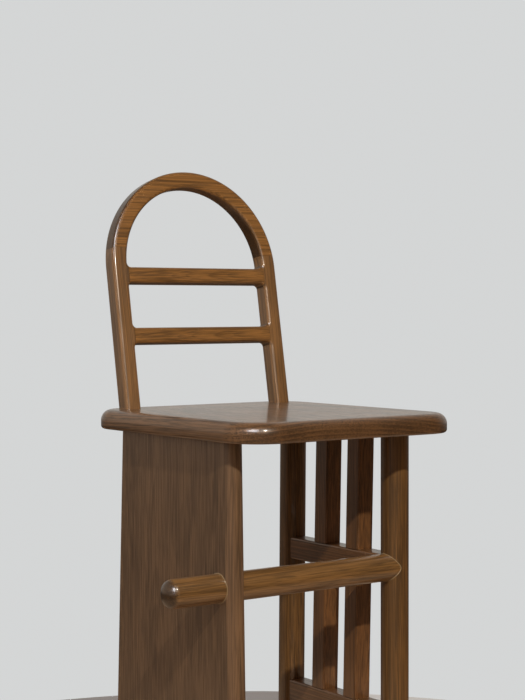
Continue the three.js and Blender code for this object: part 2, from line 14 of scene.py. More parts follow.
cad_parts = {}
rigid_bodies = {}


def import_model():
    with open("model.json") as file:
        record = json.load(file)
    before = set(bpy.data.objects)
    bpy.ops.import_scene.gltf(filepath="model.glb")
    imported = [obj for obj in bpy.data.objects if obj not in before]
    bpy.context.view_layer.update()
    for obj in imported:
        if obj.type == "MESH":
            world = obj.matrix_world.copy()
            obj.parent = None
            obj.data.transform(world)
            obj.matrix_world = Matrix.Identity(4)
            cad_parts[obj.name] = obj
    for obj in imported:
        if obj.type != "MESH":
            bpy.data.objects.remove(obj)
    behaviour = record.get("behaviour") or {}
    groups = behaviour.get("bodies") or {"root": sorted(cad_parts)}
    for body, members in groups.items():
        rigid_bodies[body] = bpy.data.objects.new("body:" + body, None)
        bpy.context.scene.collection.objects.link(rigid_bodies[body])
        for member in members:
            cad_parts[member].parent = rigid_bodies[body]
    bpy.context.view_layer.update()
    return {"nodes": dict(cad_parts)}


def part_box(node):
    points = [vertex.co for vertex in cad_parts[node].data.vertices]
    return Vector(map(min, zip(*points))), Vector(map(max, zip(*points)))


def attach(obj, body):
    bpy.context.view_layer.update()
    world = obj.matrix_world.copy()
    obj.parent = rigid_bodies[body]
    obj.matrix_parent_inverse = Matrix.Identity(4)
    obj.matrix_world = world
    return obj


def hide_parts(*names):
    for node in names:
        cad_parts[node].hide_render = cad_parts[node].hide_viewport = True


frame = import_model()


# The camera stands well in front of the stool, off its board side, a little higher than the lower slat of
# the back. It looks slightly down through a long lens, from where the edges in the photograph put it.
camera_place = (-1.3887, -1.9620, 0.8543)
camera_bearing = 35.98
camera_dip = 1.49
camera_tilt = 0.115
frame_height = 700
focal_pixels = 1601

camera_data = bpy.data.cameras.new("camera")
camera_data.lens = camera_data.sensor_width * focal_pixels / frame_height
camera = bpy.data.objects.new("camera", camera_data)
turn = Matrix.Rotation(-math.radians(camera_bearing), 4, "Z")
nod = Matrix.Rotation(math.radians(90 - camera_dip), 4, "X")
roll = Matrix.Rotation(-math.radians(camera_tilt), 4, "Z")
camera.matrix_world = Matrix.Translation(camera_place) @ turn @ nod @ roll
bpy.context.scene.collection.objects.link(camera)
bpy.context.scene.camera = camera
bpy.context.scene.view_settings.view_transform = "Standard"


# The studio: a small warm lamp close in front of the stool and above it, soft light from all round, a
# bright window high on the left, and a pale floor. The gloss shows a pale glow from behind the stool and a
# dim room in front of it.
lamp_place = (-0.37, -1.22, 1.50)
lamp_power = 31
lamp_radius = 0.018
lamp_colour = (1.0, 0.9, 0.76)
backdrop_colour = (0.66, 0.67, 0.67)
up_way = (0, 0, 1)
up_span = (-0.12, 0.03)
behind_way = (0.57, 0.82, 0)
behind_span = (-0.1, 1.05)
behind_glow = (0.57, 0.55, 0.51)
left_way = (-0.9, 0.44, 0)
left_span = (0.3, 0.9)
left_glow = (0.68, 0.55, 0.44)
window_way = (-0.62, -0.48, 0.62)
window_span = (0.96, 0.995)
window_glow = (20, 20, 21)
room_colour = (0.040, 0.028, 0.016)
under_colour = (0.05, 0.04, 0.03)
front_fill = (0.26, 0.12, 0.03)
side_way = (-1, 0.1, 0.1)
side_span = (-0.1, 0.9)
side_fill = (0.66, 0.63, 0.61)
rear_way = (0.3, 1, 0.2)
rear_span = (0, 0.9)
rear_fill = (0.48, 0.47, 0.44)
ground_fill = (0.24, 0.16, 0.09)
floor_radius = 1.15
floor_sides = 96
floor_colour = (0.62, 0.66, 0.72)
floor_bounce = (0.52, 0.42, 0.33)
floor_roughness = 0.9
floor_shine = 0.1

lamp_data = bpy.data.lights.new("lamp", "POINT")
lamp_data.energy = lamp_power
lamp_data.shadow_soft_size = lamp_radius
lamp_data.color = lamp_colour
lamp_data.use_nodes = True
lamp_tree = lamp_data.node_tree
unfading = lamp_tree.nodes.new("ShaderNodeLightFalloff")
unfading.inputs["Strength"].default_value = 1
lamp_tree.links.new(unfading.outputs["Constant"], lamp_tree.nodes["Emission"].inputs["Strength"])
lamp = bpy.data.objects.new("lamp", lamp_data)
lamp.location = lamp_place
bpy.context.scene.collection.objects.link(lamp)


def node(tree, kind, place, **settings):
    """Adds a node to a tree, places it and gives it its settings"""
    made = tree.nodes.new(kind)
    made.location = place
    for name, value in settings.items():
        setattr(made, name, value)
    return made


def join(tree, *pairs):
    """Joins the sockets of each pair"""
    for start, end in pairs:
        tree.links.new(start, end)


world = bpy.data.worlds.new("studio")
world.use_nodes = True
air = world.node_tree
air.nodes.clear()
ray = node(air, "ShaderNodeLightPath", (-900, 600))
toward = node(air, "ShaderNodeTexCoord", (-1300, 0))


def pointing(way, span, row):
    """How far a ray points along a way, from nothing at the first cosine of a span to all at the second"""
    along = node(air, "ShaderNodeVectorMath", (-1100, row), operation="DOT_PRODUCT")
    along.inputs[1].default_value = Vector(way).normalized()
    share = node(air, "ShaderNodeMapRange", (-900, row), interpolation_type="SMOOTHSTEP")
    share.inputs["From Min"].default_value, share.inputs["From Max"].default_value = span
    join(
        air,
        (toward.outputs["Generated"], along.inputs[0]),
        (along.outputs["Value"], share.inputs["Value"]),
    )
    return share.outputs["Result"]


def mixed(share, first, second, place):
    """A colour between two, each of them given as numbers or as a socket"""
    made = node(air, "ShaderNodeMix", place, data_type="RGBA")
    join(air, (share, made.inputs["Factor"]))
    for letter, colour in (("A", first), ("B", second)):
        if isinstance(colour, tuple):
            made.inputs[letter].default_value = (*colour, 1)
        else:
            join(air, (colour, made.inputs[letter]))
    return made.outputs["Result"]


up = pointing(up_way, up_span, 300)
mirrored = mixed(pointing(behind_way, behind_span, 100), room_colour, behind_glow, (-650, 200))
mirrored = mixed(pointing(left_way, left_span, 500), mirrored, left_glow, (-550, 350))
mirrored = mixed(up, under_colour, mirrored, (-450, 200))
mirrored = mixed(pointing(window_way, window_span, 700), mirrored, window_glow, (-250, 350))
shed = mixed(pointing(side_way, side_span, -100), front_fill, side_fill, (-650, -100))
shed = mixed(pointing(rear_way, rear_span, -300), shed, rear_fill, (-450, -100))
shed = mixed(up, ground_fill, shed, (-250, -100))
shown = mixed(ray.outputs["Is Glossy Ray"], shed, mirrored, (-50, 100))
shown = mixed(ray.outputs["Is Camera Ray"], shown, backdrop_colour, (150, 200))
glow = node(air, "ShaderNodeBackground", (350, 200))
sky = node(air, "ShaderNodeOutputWorld", (550, 200))
join(air, (shown, glow.inputs["Color"]), (glow.outputs["Background"], sky.inputs["Surface"]))
bpy.context.scene.world = world

bpy.ops.object.select_all(action="DESELECT")
bpy.ops.mesh.primitive_circle_add(
    vertices=floor_sides, radius=floor_radius, fill_type="NGON", location=(0, 0, 0)
)
floor = bpy.context.object
floor.name = "floor"
floor_finish = bpy.data.materials.new("floor")
floor_finish.use_nodes = True
floor_shader = floor_finish.node_tree.nodes["Principled BSDF"]
floor_tree = floor_finish.node_tree
floor_ray = node(floor_tree, "ShaderNodeLightPath", (-600, 0))
floor_tone = node(floor_tree, "ShaderNodeMix", (-300, 0), data_type="RGBA")
floor_tone.inputs["A"].default_value = (*floor_bounce, 1)
floor_tone.inputs["B"].default_value = (*floor_colour, 1)
join(
    floor_tree,
    (floor_ray.outputs["Is Camera Ray"], floor_tone.inputs["Factor"]),
    (floor_tone.outputs["Result"], floor_shader.inputs["Base Color"]),
)
floor_shader.inputs["Roughness"].default_value = floor_roughness
floor_shader.inputs["Specular IOR Level"].default_value = floor_shine
floor.data.materials.append(floor_finish)


# The seat is one plank of stained wood, its grain running from front to back. Its corners are sawn round,
# the upper edge is rounded over generously and the lower one is only eased.
seat_corner = 0.060
seat_corner_steps = 20
seat_top_round = 0.016
seat_top_steps = 12
seat_bottom_round = 0.005
seat_bottom_steps = 5
seat_tint = (0.116, 0.059, 0.025)
seat_grain = (0.03, 1, -0.03)
seat_pith_depth = 1.2
smooth_angle = math.radians(35)
flat_weight = 100
hair = 0.00001
sliver = 0.0001
round_sides = 64


def take(piece):
    """Takes one piece in hand, in object mode and selected alone"""
    if bpy.context.object and bpy.context.object.mode == "EDIT":
        bpy.ops.object.mode_set(mode="OBJECT")
    bpy.ops.object.select_all(action="DESELECT")
    bpy.context.view_layer.objects.active = piece
    piece.select_set(True)


def edit(piece):
    """Opens one piece in edit mode with nothing selected"""
    take(piece)
    bpy.ops.object.mode_set(mode="EDIT")
    bpy.ops.mesh.select_all(action="DESELECT")


def pick(piece, kind, wanted):
    """Selects the vertices, edges or faces that pass a test"""
    bpy.ops.mesh.select_mode(type=kind)
    bpy.ops.mesh.select_all(action="DESELECT")
    mesh = bmesh.from_edit_mesh(piece.data)
    for part in {"VERT": mesh.verts, "EDGE": mesh.edges, "FACE": mesh.faces}[kind]:
        if wanted(part):
            part.select_set(True)
    mesh.select_flush_mode()
    bmesh.update_edit_mesh(piece.data)


def middle(edge):
    """Middle of an edge"""
    return (edge.verts[0].co + edge.verts[1].co) / 2


def near(value, target, slack=hair):
    """Whether a length is as good as another"""
    return abs(value - target) < slack


def block(name, low, high):
    """A sawn block between two corners, with its place in its mesh"""
    low = Vector(low)
    high = Vector(high)
    bpy.ops.object.select_all(action="DESELECT")
    bpy.ops.mesh.primitive_cube_add(size=1, location=(low + high) / 2)
    made = bpy.context.object
    made.name = name
    made.scale = high - low
    bpy.ops.object.transform_apply(location=True, rotation=True, scale=True)
    return made


def rod(name, radius, start, end, sides=round_sides):
    """A round rod between two points, with its place in its mesh"""
    start = Vector(start)
    end = Vector(end)
    bpy.ops.object.select_all(action="DESELECT")
    bpy.ops.mesh.primitive_cylinder_add(
        vertices=sides, radius=radius, depth=(end - start).length, location=(start + end) / 2
    )
    made = bpy.context.object
    made.name = name
    made.rotation_euler = (end - start).to_track_quat("Z", "Y").to_euler()
    bpy.ops.object.transform_apply(location=True, rotation=True, scale=True)
    return made


def apply_modifier(piece, kind, **settings):
    """Gives a piece a modifier and applies it"""
    take(piece)
    made = piece.modifiers.new(kind.lower(), kind)
    for name, value in settings.items():
        setattr(made, name, value)
    bpy.ops.object.modifier_apply(modifier=made.name)


def cut(piece, *tools, how="DIFFERENCE"):
    """Cuts a piece with tools, which are then put away"""
    for tool in tools:
        apply_modifier(piece, "BOOLEAN", operation=how, object=tool, solver="MANIFOLD")
        bpy.data.objects.remove(tool, do_unlink=True)


def polish(piece):
    """Smooths the shading over the rounded edges and keeps the flats flat"""
    take(piece)
    bpy.ops.object.shade_smooth_by_angle(angle=smooth_angle)
    apply_modifier(piece, "WEIGHTED_NORMAL", keep_sharp=True, weight=flat_weight)


# The stained wood. Its fibres, pores, patches of stain and the fading of its rings are each given by how
# often they change in a metre across and along the grain, and by how finely they break up.
broad_fibres = (400, 3, 2)
broad_swing = 0.42
fine_fibres = (700, 8, 2)
fine_swing = 0.60
pore_lines = (1100, 18, 1)
pore_span = (0.58, 0.68)
pore_tint = (0.020, 0.008, 0.003)
stain_patches = (20, 6, 3)
patch_swing = 0.30
faded_rings = (30, 4, 2)
faded_span = (0.35, 0.65)
faded_share = (0.3, 1.5)
noise_span = (0.3, 0.7)
noise_middle = (0.5, 0.5, 0.5)
streak_roughness = 0.55
wander_pace = (9, 9, 3)
wander_detail = 3
light_share = 0.6
dark_share = 0.5
end_grain_tint = (0.28, 0.26, 0.25)
end_grain_blend = 0.4

# Its growth rings, with their tone at shares of a ring's width, and what most pieces have
ring_tones = ((0.15, 1.0), (0.45, 0.7), (0.80, 0.2), (0.93, 0.0))
middle_tone = 0.5
ring_unevenness = 1.6
uneven_pace = 0.7
uneven_detail = 1
usual_ring_width = 0.0032
usual_rings = 0.5
usual_waviness = 0.006
usual_pores = 0.4

# Its gloss and relief, and the lacquer over it
mean_roughness = 0.38
fibre_shine = 0.10
pore_roughness = 0.2
fibre_height = 0.4
relief_strength = 0.35
relief_depth = 0.0002
lacquer_weight = 0.55
lacquer_roughness = 0.13
lacquer_ior = 1.48
# Pale colour of the lacquer beads at the joints: a painted highlight along the joint lines
bead_painted_highlight = (0.24, 0.17, 0.09)


def link_input(group, name, kind, value=None):
    """Adds a named input to a node group, with its usual value"""
    socket = group.interface.new_socket(name=name, in_out="INPUT", socket_type=kind)
    if value is not None:
        socket.default_value = value


def stained_wood():
    """Node group: the figure of stained wood, its grain along Z of the vector that it is given"""
    group = bpy.data.node_groups.new("stained wood", "ShaderNodeTree")
    link_input(group, "Vector", "NodeSocketVector")
    link_input(group, "Ring Width", "NodeSocketFloat", usual_ring_width)
    link_input(group, "Rings", "NodeSocketFloat", usual_rings)
    link_input(group, "Waviness", "NodeSocketFloat", usual_waviness)
    link_input(group, "End Grain", "NodeSocketFloat")
    link_input(group, "Pores", "NodeSocketFloat", usual_pores)
    link_input(group, "Light", "NodeSocketColor")
    link_input(group, "Dark", "NodeSocketColor")
    group.interface.new_socket(name="Color", in_out="OUTPUT", socket_type="NodeSocketColor")
    group.interface.new_socket(name="Roughness", in_out="OUTPUT", socket_type="NodeSocketFloat")
    group.interface.new_socket(name="Height", in_out="OUTPUT", socket_type="NodeSocketFloat")
    start = node(group, "NodeGroupInput", (-1800, 0))
    end = node(group, "NodeGroupOutput", (1400, 0))

    def sum_of(kind, first, second, place, third=None):
        """What a sum of up to three numbers or sockets comes to"""
        made = node(group, "ShaderNodeMath", place, operation=kind)
        for number, value in enumerate((first, second, third)):
            if isinstance(value, (int, float)):
                made.inputs[number].default_value = value
            elif value is not None:
                join(group, (value, made.inputs[number]))
        return made.outputs["Value"]

    def spread(value, found, wanted, place):
        """Stretches the span in which a value is found to the one that is wanted"""
        ranged = node(group, "ShaderNodeMapRange", place)
        for name, number in zip(("From Min", "From Max", "To Min", "To Max"), (*found, *wanted)):
            ranged.inputs[name].default_value = number
        join(group, (value, ranged.inputs["Value"]))
        return ranged.outputs["Result"]

    # Slow wander of the fibres
    slow = node(group, "ShaderNodeVectorMath", (-1600, -200), operation="MULTIPLY")
    slow.inputs[1].default_value = wander_pace
    wander = node(group, "ShaderNodeTexNoise", (-1400, -200))
    wander.inputs["Scale"].default_value = 1
    wander.inputs["Detail"].default_value = wander_detail
    centred = node(group, "ShaderNodeVectorMath", (-1200, -200), operation="SUBTRACT")
    centred.inputs[1].default_value = noise_middle
    sized = node(group, "ShaderNodeVectorMath", (-1000, -200), operation="SCALE")
    bent = node(group, "ShaderNodeVectorMath", (-800, 0), operation="ADD")
    join(
        group,
        (start.outputs["Vector"], slow.inputs[0]),
        (slow.outputs["Vector"], wander.inputs["Vector"]),
        (wander.outputs["Color"], centred.inputs[0]),
        (centred.outputs["Vector"], sized.inputs[0]),
        (start.outputs["Waviness"], sized.inputs["Scale"]),
        (start.outputs["Vector"], bent.inputs[0]),
        (sized.outputs["Vector"], bent.inputs[1]),
    )

    # Growth rings about the pith, of uneven width: each is pale at first and darkens toward its end
    flat = node(group, "ShaderNodeVectorMath", (-600, 0), operation="MULTIPLY")
    flat.inputs[1].default_value = (1, 1, 0)
    reach = node(group, "ShaderNodeVectorMath", (-450, 0), operation="LENGTH")
    uneven = node(group, "ShaderNodeTexNoise", (-300, -200), noise_dimensions="1D")
    uneven.inputs["Scale"].default_value = uneven_pace
    uneven.inputs["Detail"].default_value = uneven_detail
    ring = node(group, "ShaderNodeValToRGB", (150, 0))
    ramp = ring.color_ramp
    for end_of_ring in ramp.elements:
        end_of_ring.color = (middle_tone, middle_tone, middle_tone, 1)
    for position, value in ring_tones:
        ramp.elements.new(position).color = (value, value, value, 1)
    join(group, (bent.outputs["Vector"], flat.inputs[0]), (flat.outputs["Vector"], reach.inputs[0]))
    count = sum_of("DIVIDE", reach.outputs["Value"], start.outputs["Ring Width"], (-300, 0))
    shifted = sum_of("MULTIPLY_ADD", uneven.outputs["Fac"], ring_unevenness, (-150, 0), count)
    phase = sum_of("FRACT", shifted, None, (0, 0))
    join(group, (count, uneven.inputs["W"]), (phase, ring.inputs["Fac"]))

    # Broad and fine fibres, short pores and slow patches of stain, all stretched along the grain
    def streaks(across, along, detail, row):
        """Noise that is drawn out along the grain"""
        stretch = node(group, "ShaderNodeVectorMath", (-600, row), operation="MULTIPLY")
        stretch.inputs[1].default_value = (across, across, along)
        noise = node(group, "ShaderNodeTexNoise", (-400, row))
        noise.inputs["Scale"].default_value = 1
        noise.inputs["Detail"].default_value = detail
        noise.inputs["Roughness"].default_value = streak_roughness
        join(
            group,
            (bent.outputs["Vector"], stretch.inputs[0]),
            (stretch.outputs["Vector"], noise.inputs["Vector"]),
        )
        return noise.outputs["Fac"]

    broad = spread(streaks(*broad_fibres, -500), noise_span, (-broad_swing, broad_swing), (-150, -500))
    fine = spread(streaks(*fine_fibres, -750), noise_span, (-fine_swing, fine_swing), (-150, -750))
    pore_mark = spread(streaks(*pore_lines, -1000), pore_span, (0, 1), (-150, -1000))
    patches = spread(streaks(*stain_patches, -1250), noise_span, (-patch_swing, patch_swing), (-150, -1250))
    faded = spread(streaks(*faded_rings, -1500), faded_span, faded_share, (-150, -1500))
    swing = sum_of("SUBTRACT", ring.outputs["Color"], middle_tone, (450, 0))
    rings = sum_of("MULTIPLY", swing, faded, (600, 0))
    tone = sum_of("MULTIPLY_ADD", rings, start.outputs["Rings"], (750, 0), middle_tone)
    for row, part in enumerate((broad, fine, patches)):
        tone = sum_of("ADD", tone, part, (750, -200 - 200 * row))
    colour = node(group, "ShaderNodeMix", (900, 200), data_type="RGBA")
    pored = node(group, "ShaderNodeMix", (1050, 200), data_type="RGBA")
    pored.inputs["B"].default_value = (*pore_tint, 1)
    ended = node(group, "ShaderNodeMix", (1200, 200), data_type="RGBA", blend_type="MULTIPLY")
    ended.inputs["B"].default_value = (*end_grain_tint, 1)
    gloss = sum_of("MULTIPLY_ADD", fine, -fibre_shine, (900, -600), mean_roughness)
    rough = sum_of("MULTIPLY_ADD", pore_mark, pore_roughness, (1050, -600), gloss)
    fibres = sum_of("MULTIPLY", fine, fibre_height, (900, -800))
    height = sum_of("SUBTRACT", fibres, pore_mark, (1050, -800))
    join(
        group,
        (tone, colour.inputs["Factor"]),
        (start.outputs["Dark"], colour.inputs["A"]),
        (start.outputs["Light"], colour.inputs["B"]),
        (sum_of("MULTIPLY", pore_mark, start.outputs["Pores"], (900, -400)), pored.inputs["Factor"]),
        (colour.outputs["Result"], pored.inputs["A"]),
        (start.outputs["End Grain"], ended.inputs["Factor"]),
        (pored.outputs["Result"], ended.inputs["A"]),
        (ended.outputs["Result"], end.inputs["Color"]),
        (rough, end.inputs["Roughness"]),
        (height, end.inputs["Height"]),
    )
    return group


wood_figure = stained_wood()


def lacquered_wood(name, tint, pith, grain, contrast=0.75, ends=1, end_start=0.55, **figures):
    """Stained and lacquered wood sawn about a pith through a point, with its grain along a direction

    Contrast sets how far the tint swings, ends how dark the end grain is, and end_start how far a face
    turns toward the grain before it counts as end grain. A point attribute marks the beads of lacquer,
    which are given a pale colour: a painted highlight along them.
    """
    finish = bpy.data.materials.new(name)
    finish.use_nodes = True
    tree = finish.node_tree
    shader = tree.nodes["Principled BSDF"]
    shader.inputs["Coat Weight"].default_value = lacquer_weight
    shader.inputs["Coat Roughness"].default_value = lacquer_roughness
    shader.inputs["IOR"].default_value = lacquer_ior
    place = node(tree, "ShaderNodeTexCoord", (-1000, 0))
    lay = node(tree, "ShaderNodeMapping", (-800, 0), vector_type="TEXTURE")
    lay.inputs["Location"].default_value = pith
    lay.inputs["Rotation"].default_value = Vector(grain).to_track_quat("Z", "Y").to_euler()
    across = node(tree, "ShaderNodeVectorMath", (-1000, -300), operation="DOT_PRODUCT")
    across.inputs[1].default_value = Vector(grain).normalized()
    size = node(tree, "ShaderNodeMath", (-850, -300), operation="ABSOLUTE")
    end_face = node(tree, "ShaderNodeMapRange", (-700, -300))
    end_face.inputs["From Min"].default_value = end_start
    end_face.inputs["From Max"].default_value = min(1, end_start + end_grain_blend)
    end_face.inputs["To Max"].default_value = ends
    figure = node(tree, "ShaderNodeGroup", (-550, 0), node_tree=wood_figure)
    for socket, value in figures.items():
        figure.inputs[socket.replace("_", " ").title()].default_value = value
    figure.inputs["Light"].default_value = (*((1 + light_share * contrast) * part for part in tint), 1)
    figure.inputs["Dark"].default_value = (*((1 - dark_share * contrast) * part for part in tint), 1)
    # The marked beads are mixed toward a pale colour, a painted highlight along the joint lines
    bead = node(tree, "ShaderNodeAttribute", (-550, 300), attribute_name="bead")
    bead_highlight_mix = node(tree, "ShaderNodeMix", (-300, 200), data_type="RGBA")
    bead_highlight_mix.inputs["B"].default_value = (*bead_painted_highlight, 1)
    relief = node(tree, "ShaderNodeBump", (-300, -300))
    relief.inputs["Strength"].default_value = relief_strength
    relief.inputs["Distance"].default_value = relief_depth
    join(
        tree,
        (place.outputs["Object"], lay.inputs["Vector"]),
        (lay.outputs["Vector"], figure.inputs["Vector"]),
        (place.outputs["Normal"], across.inputs[0]),
        (across.outputs["Value"], size.inputs[0]),
        (size.outputs["Value"], end_face.inputs["Value"]),
        (end_face.outputs["Result"], figure.inputs["End Grain"]),
        (bead.outputs["Fac"], bead_highlight_mix.inputs["Factor"]),
        (figure.outputs["Color"], bead_highlight_mix.inputs["A"]),
        (bead_highlight_mix.outputs["Result"], shader.inputs["Base Color"]),
        (figure.outputs["Roughness"], shader.inputs["Roughness"]),
        (figure.outputs["Height"], relief.inputs["Height"]),
        (relief.outputs["Normal"], shader.inputs["Normal"]),
    )
    return finish


def fit(piece, finish, cad_name):
    """Gives a finished wooden piece its material and puts it in the place of its CAD node"""
    piece.data.materials.clear()
    piece.data.materials.append(finish)
    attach(piece, "root")
    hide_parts(cad_name)


seat_low, seat_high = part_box("seat")
seat_underside = seat_low.z
seat_top = seat_high.z
seat = block("seat_plank", seat_low, seat_high)
edit(seat)
pick(seat, "EDGE", lambda edge: near(middle(edge).z, (seat_underside + seat_top) / 2))
bpy.ops.mesh.bevel(offset=seat_corner, segments=seat_corner_steps, affect="EDGES")
pick(seat, "EDGE", lambda edge: all(near(vert.co.z, seat_top) for vert in edge.verts))
bpy.ops.mesh.bevel(offset=seat_top_round, segments=seat_top_steps, affect="EDGES")
pick(seat, "EDGE", lambda edge: all(near(vert.co.z, seat_underside) for vert in edge.verts))
bpy.ops.mesh.bevel(offset=seat_bottom_round, segments=seat_bottom_steps, affect="EDGES")
polish(seat)
seat_pith = (0, 0, seat_underside - seat_pith_depth)
seat_finish = lacquered_wood(
    "seat wood", seat_tint, seat_pith, seat_grain,
    contrast=0.9, ends=0.4, ring_width=0.006, rings=0.9, pores=0.15,
)
fit(seat, seat_finish, "seat")


# The hooped back is glued up from two uprights, a sawn arch and two slats, all of one thickness, and then
# rounded as one, so its arrises run on round the corners of each opening. It leans back from the seat.
# Here it is drawn upright and in one, sawn at its joints and tipped.
hoop_lean = math.radians(10)
hoop_radius = 0.156
hoop_rise = 0.3812
hoop_inset = 0.0285
member_width = 0.0265
member_depth = 0.028
hoop_arris = 0.006
slat_height = 0.025
slat_corner = 0.007
slat_pitch = 0.096
slat_drop = 0.0017
joint_rise = {"left": 0.029, "right": 0.020}
glue_line = 0.0003
foot_depth = -0.03
saw_overrun = 0.01
saw_depth = 0.04
saw_from_middle = 0.02
saw_top = 0.4
seat_saw_reach = 0.3
seat_saw_depth = 0.08
arc_steps = 90
corner_steps = 8
arris_steps = 6
straight = math.radians(1)
square_on = 0.999
back_tint = (0.176, 0.086, 0.026)
upright_tint = (0.160, 0.085, 0.034)
upright_pith = (0.09, -0.05)
slat_grain = (1, 0.035, 0.015)
slat_pith_depth = 0.012
arch_grain = (1, 0, 0)
arch_pith = (0, -0.04, 0.30)

hoop_foot = Vector((
    (seat_low.x + seat_high.x) / 2,
    seat_high.y - hoop_inset - member_depth / math.cos(hoop_lean),
    seat_top,
))
spring = hoop_rise - hoop_radius
inner_half = hoop_radius - member_width
upper_slat = spring - slat_drop - slat_height / 2
lower_slat = upper_slat - slat_pitch


def point_at(x, z):
    """A new mesh that is a single point in the plane where Y is zero, selected in edit mode"""
    bpy.ops.object.select_all(action="DESELECT")
    bpy.ops.mesh.primitive_plane_add(size=member_width, location=(x, 0, z))
    made = bpy.context.object
    bpy.ops.object.transform_apply(location=True, rotation=True, scale=True)
    bpy.ops.object.mode_set(mode="EDIT")
    bpy.ops.mesh.select_mode(type="VERT")
    bpy.ops.mesh.select_all(action="SELECT")
    bpy.ops.mesh.merge(type="CENTER")
    return made


def draw_to(x, z):
    """Draws a straight line on from the selected point to a place relative to it"""
    bpy.ops.mesh.extrude_region_move(TRANSFORM_OT_translate={"value": (x, 0, z)})


def draw_arc(x, z, degrees, steps):
    """Draws an arc on from the selected point about a centre, counter-clockwise seen from the front"""
    bpy.ops.mesh.spin(steps=steps, angle=math.radians(degrees), center=(x, 0, z), axis=(0, 1, 0))


def thicken(outline, depth):
    """Fills the outlines that were drawn, makes a plank of them and rounds its front and rear arrises"""
    bpy.ops.mesh.select_all(action="SELECT")
    bpy.ops.mesh.remove_doubles(threshold=hair)
    bpy.ops.mesh.select_all(action="SELECT")
    bpy.ops.mesh.fill(use_beauty=True)
    bpy.ops.mesh.select_all(action="SELECT")
    bpy.ops.mesh.dissolve_limited(angle_limit=straight, use_dissolve_boundaries=False)
    bpy.ops.mesh.select_all(action="SELECT")
    bpy.ops.mesh.extrude_region_move(TRANSFORM_OT_translate={"value": (0, depth, 0)})
    bpy.ops.mesh.select_all(action="SELECT")
    bpy.ops.mesh.normals_make_consistent(inside=False)
    pick(outline, "EDGE", lambda edge: (
        len(edge.link_faces) == 2
        and edge.calc_face_angle() > smooth_angle
        and near(edge.verts[0].co.y, edge.verts[1].co.y)
    ))
    bpy.ops.mesh.bevel(offset=hoop_arris, segments=arris_steps, affect="EDGES", clamp_overlap=False)
    pick(outline, "FACE", lambda face: abs(face.normal.y) > square_on)
    bpy.ops.mesh.quads_convert_to_tris(ngon_method="BEAUTY")
    bpy.ops.object.mode_set(mode="OBJECT")


# Outside of the back, with the open space between its feet below the lower slat
lower_edge = lower_slat - slat_height / 2
back = point_at(hoop_radius, foot_depth)
draw_to(0, spring - foot_depth)
draw_arc(0, spring, 180, arc_steps)
draw_to(0, foot_depth - spring)
draw_to(member_width, 0)
draw_to(0, lower_edge - slat_corner - foot_depth)
draw_arc(slat_corner - inner_half, lower_edge - slat_corner, -90, corner_steps)
draw_to(2 * (inner_half - slat_corner), 0)
draw_arc(inner_half - slat_corner, lower_edge - slat_corner, -90, corner_steps)
draw_to(0, foot_depth - lower_edge + slat_corner)
draw_to(member_width, 0)
bpy.ops.object.mode_set(mode="OBJECT")

# Opening between the slats
opening_low = lower_slat + slat_height / 2
opening_high = upper_slat - slat_height / 2
opening_side = inner_half - slat_corner
opening = point_at(inner_half, opening_low + slat_corner)
draw_to(0, opening_high - opening_low - 2 * slat_corner)
draw_arc(opening_side, opening_high - slat_corner, 90, corner_steps)
draw_to(-2 * opening_side, 0)
draw_arc(-opening_side, opening_high - slat_corner, 90, corner_steps)
draw_to(0, opening_low - opening_high + 2 * slat_corner)
draw_arc(-opening_side, opening_low + slat_corner, 90, corner_steps)
draw_to(2 * opening_side, 0)
draw_arc(opening_side, opening_low + slat_corner, 90, corner_steps)
bpy.ops.object.mode_set(mode="OBJECT")

# Opening under the arch
corner_z = upper_slat + slat_height / 2 + slat_corner
corner_x = math.sqrt((inner_half - slat_corner) ** 2 - (corner_z - spring) ** 2)
lift = math.degrees(math.atan2(corner_z - spring, corner_x))
arch_opening = point_at(corner_x, corner_z - slat_corner)
draw_arc(corner_x, corner_z, 90 + lift, corner_steps)
draw_arc(0, spring, 180 - 2 * lift, arc_steps)
draw_arc(-corner_x, corner_z, 90 + lift, corner_steps)
draw_to(2 * corner_x, 0)
bpy.ops.object.mode_set(mode="OBJECT")

bpy.ops.object.select_all(action="DESELECT")
for outline in (opening, arch_opening, back):
    outline.select_set(True)
bpy.context.view_layer.objects.active = back
bpy.ops.object.join()
edit(back)
thicken(back, member_depth)


def part_of(whole, name, low, high):
    """A copy of a piece, kept only within a block"""
    copy = whole.copy()
    copy.data = whole.data.copy()
    copy.name = name
    bpy.context.scene.collection.objects.link(copy)
    cut(copy, block("keep", low, high), how="INTERSECT")
    return copy


def lean(piece):
    """Tips a piece of the back to its lean and stands it on the seat"""
    take(piece)
    piece.rotation_euler = (-hoop_lean, 0, 0)
    piece.location = hoop_foot
    bpy.ops.object.transform_apply(location=True, rotation=True, scale=True)


saw_side = hoop_radius + member_width
up_the_back = (0, math.sin(hoop_lean), math.cos(hoop_lean))
for side, sign in (("left", -1), ("right", 1)):
    joint = spring + joint_rise[side] - glue_line / 2
    left_end, right_end = sorted((sign * saw_from_middle, sign * saw_side))
    upright = part_of(
        back,
        f"upright_{side}",
        (left_end, -saw_overrun, foot_depth - saw_overrun),
        (right_end, saw_depth, joint),
    )
    between_low = (-inner_half, -saw_overrun, foot_depth - 2 * saw_overrun)
    cut(upright, block("between", between_low, (inner_half, saw_depth, corner_z)))
    lean(upright)
    seat_level_low = (-seat_saw_reach, 0, seat_top - seat_saw_depth)
    cut(upright, block("seat level", seat_level_low, (seat_saw_reach, seat_saw_reach, seat_top)))
    # Splinters that the cuts leave at the lower slat's corner go, and only what stands on the seat stays
    edit(upright)
    pick(upright, "VERT", lambda vert: near(vert.co.z, seat_top, sliver))
    bpy.ops.mesh.select_linked()
    bpy.ops.mesh.select_all(action="INVERT")
    bpy.ops.mesh.delete(type="VERT")
    polish(upright)
    pith = hoop_foot + Vector((sign * upright_pith[0], upright_pith[1], 0))
    finish = lacquered_wood(f"upright {side} wood", upright_tint, pith, up_the_back)
    fit(upright, finish, f"back_upright_{side}")

